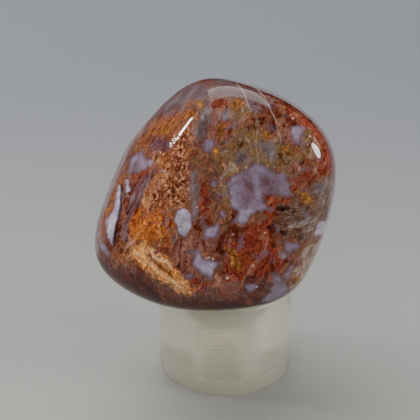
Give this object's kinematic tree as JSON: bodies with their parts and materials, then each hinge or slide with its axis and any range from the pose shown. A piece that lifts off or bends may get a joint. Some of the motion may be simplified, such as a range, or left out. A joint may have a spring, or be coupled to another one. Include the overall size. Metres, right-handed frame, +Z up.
{
  "type": "pietersite tumbled stone",
  "caption": "Polished tumbled stone of brecciated red and lavender chalcedony, resting on a short round stand with a conical seat.",
  "frame": {"origin": "under the middle of the whole object's bounding box, on the surface that the stand stands on", "axes": "+Z up along the stand's axis, -Y out of the stone's broad polished face towards the viewer, +X to the viewer's right"},
  "size_m": [0.036, 0.0272, 0.0489],
  "materials": {
    "pietersite": "polished",
    "milky_plastic": "satin, translucent"
  },
  "bodies": {
    "root": {"stone": "pietersite", "stand": "milky_plastic"}
  },
  "joints": []
}
